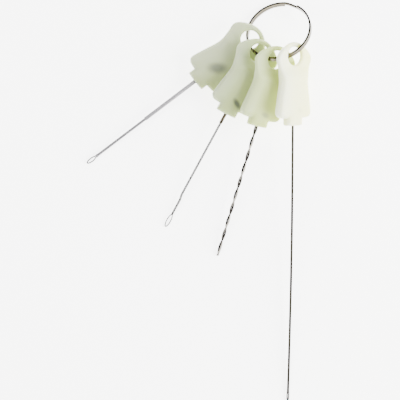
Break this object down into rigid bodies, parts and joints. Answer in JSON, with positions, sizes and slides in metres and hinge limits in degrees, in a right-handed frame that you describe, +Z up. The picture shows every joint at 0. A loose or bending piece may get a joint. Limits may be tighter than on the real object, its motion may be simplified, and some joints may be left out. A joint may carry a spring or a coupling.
{
  "type": "needle threader set",
  "caption": "Wire needle threaders with dress-form grips on a split key ring: sleeved, fine loop, twisted and long loop wires.",
  "frame": {"origin": "middle of the set's footprint, on the surface it lies on", "axes": "+Y away from the long threader's tip towards the ring, +Z up from the surface, +X to the right seen from above"},
  "size_m": [0.0848, 0.1506, 0.0198],
  "materials": {
    "ring_steel": "polished nickel plate",
    "grip_plastic": "soft translucent moulded plastic",
    "shank_wire": "drawn satin wire",
    "sleeve_plastic": "smooth tube",
    "bright_wire": "drawn bright wire",
    "ferrule_metal": "dull",
    "crimp_metal": "dull"
  },
  "bodies": {
    "ring": {"split_ring": "ring_steel"},
    "sleeved": {"grip_sleeved": "grip_plastic", "wire_sleeved": "shank_wire", "sleeve_tube": "sleeve_plastic", "anchor_sleeved": "crimp_metal"},
    "fine": {"grip_fine": "grip_plastic", "wire_fine": "bright_wire", "ferrule_fine": "ferrule_metal", "anchor_fine": "crimp_metal"},
    "twisted": {"grip_twisted": "grip_plastic", "strand_a": "bright_wire", "strand_b": "bright_wire", "anchor_twisted": "crimp_metal"},
    "long": {"grip_long": "grip_plastic", "wire_long": "bright_wire", "anchor_long": "crimp_metal"}
  },
  "joints": [
    {"name": "sleeved_swing", "type": "hinge", "parent": "ring", "child": "sleeved", "pos_m": [0.01919, 0.06088, 0.0054], "axis": [0.0344, -0.1483, 0.9883], "range_deg": [-90, 0]},
    {"name": "fine_swing", "type": "hinge", "parent": "ring", "child": "fine", "pos_m": [0.02234, 0.05558, 0.0095], "axis": [0.1856, -0.2354, 0.954], "range_deg": [-70, 0]},
    {"name": "twisted_swing", "type": "hinge", "parent": "ring", "child": "twisted", "pos_m": [0.02884, 0.05288, 0.0124], "axis": [0.3966, -0.2589, 0.8807], "range_deg": [-60, 0]},
    {"name": "long_swing", "type": "hinge", "parent": "ring", "child": "long", "pos_m": [0.03535, 0.05418, 0.01356], "axis": [0.6628, -0.0849, 0.744], "range_deg": [-60, 0]}
  ]
}
